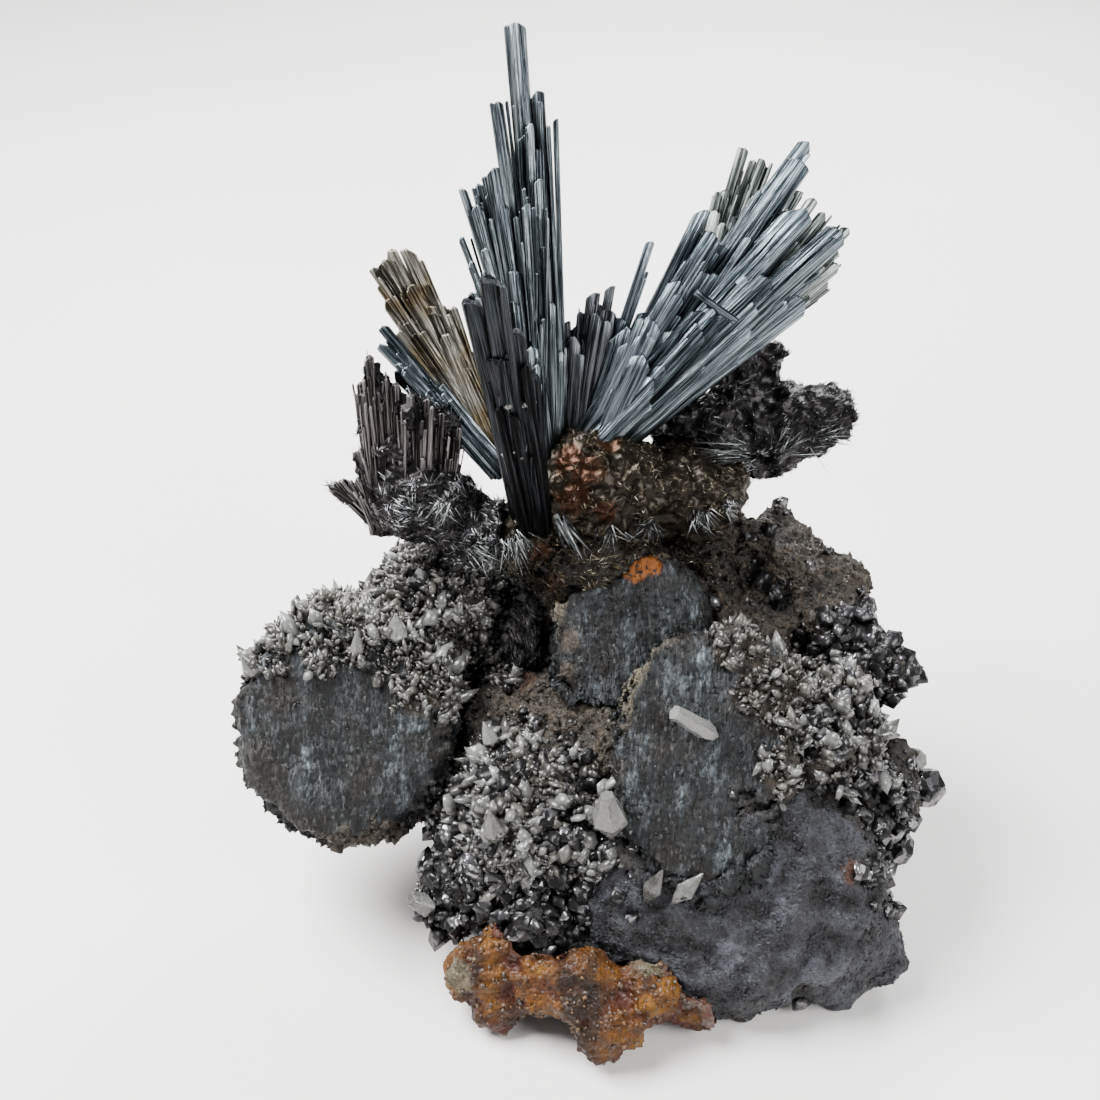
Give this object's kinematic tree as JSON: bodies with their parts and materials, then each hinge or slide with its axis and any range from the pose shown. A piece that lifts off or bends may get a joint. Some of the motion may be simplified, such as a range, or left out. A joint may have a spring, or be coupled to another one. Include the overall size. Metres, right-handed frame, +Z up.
{
  "type": "stibnite crystal spray",
  "caption": "Sheaves of flat striated metallic blades rising from a felted needle mat on a rugged rock matrix with round crust plates, amber calcite and dogtooth calcite.",
  "frame": {"origin": "on the flat broken face under the rock that the specimen rests on, below the front half of the rock's core", "axes": "+Z up, +X towards the large blade fan on the right, -Y towards the side that the crust plates and the amber calcite face"},
  "size_m": [0.0824, 0.0648, 0.0951],
  "materials": {
    "host_rock": "matt granular dark grey-brown rock with calcite druse",
    "grey_crust": "fine-grained blue-grey crust with a pale rim",
    "amber_calcite": "translucent sparkling amber calcite",
    "dark_fibre": "felted dark needles with metallic glints and rust-brown stain",
    "steel_stibnite": "metallic steel-grey, striated along its length",
    "bronze_stibnite": "metallic grey with a bronze tarnish, striated along its length",
    "white_calcite": "translucent greyish white, vitreous",
    "sphalerite": "near-black, adamantine to submetallic"
  },
  "bodies": {
    "root": {"matrix_rock": "host_rock", "rear_crust_disc": "grey_crust", "front_crust_disc": "grey_crust", "left_crust_plate": "grey_crust", "amber_calcite_crust": "amber_calcite", "recess_fibre_column": "dark_fibre", "needle_mat": "dark_fibre", "left_blade_stump": "dark_fibre", "right_needle_wing": "dark_fibre", "central_blade_spray": "steel_stibnite", "right_blade_fan": "steel_stibnite", "bronze_blade_sheaf": "bronze_stibnite", "steel_blade_sheaf": "steel_stibnite", "front_blades": "steel_stibnite", "rear_blade_cluster": "steel_stibnite", "back_blade_sheaf": "steel_stibnite", "calcite_prism_front_disc": "white_calcite", "calcite_dogtooth_plate_tall": "white_calcite", "calcite_dogtooth_plate_broad": "white_calcite", "calcite_dogtooth_plate_edge": "white_calcite", "calcite_dogtooth_slope_low": "white_calcite", "calcite_dogtooth_slope_high": "white_calcite", "calcite_block_slope": "white_calcite", "calcite_block_corner": "white_calcite", "calcite_leaf_left": "white_calcite", "calcite_leaf_right": "white_calcite", "calcite_knob_right": "white_calcite", "sphalerite_crystal_upper": "sphalerite", "sphalerite_crystal_outer": "sphalerite", "sphalerite_crystal_lower": "sphalerite"}
  },
  "joints": []
}
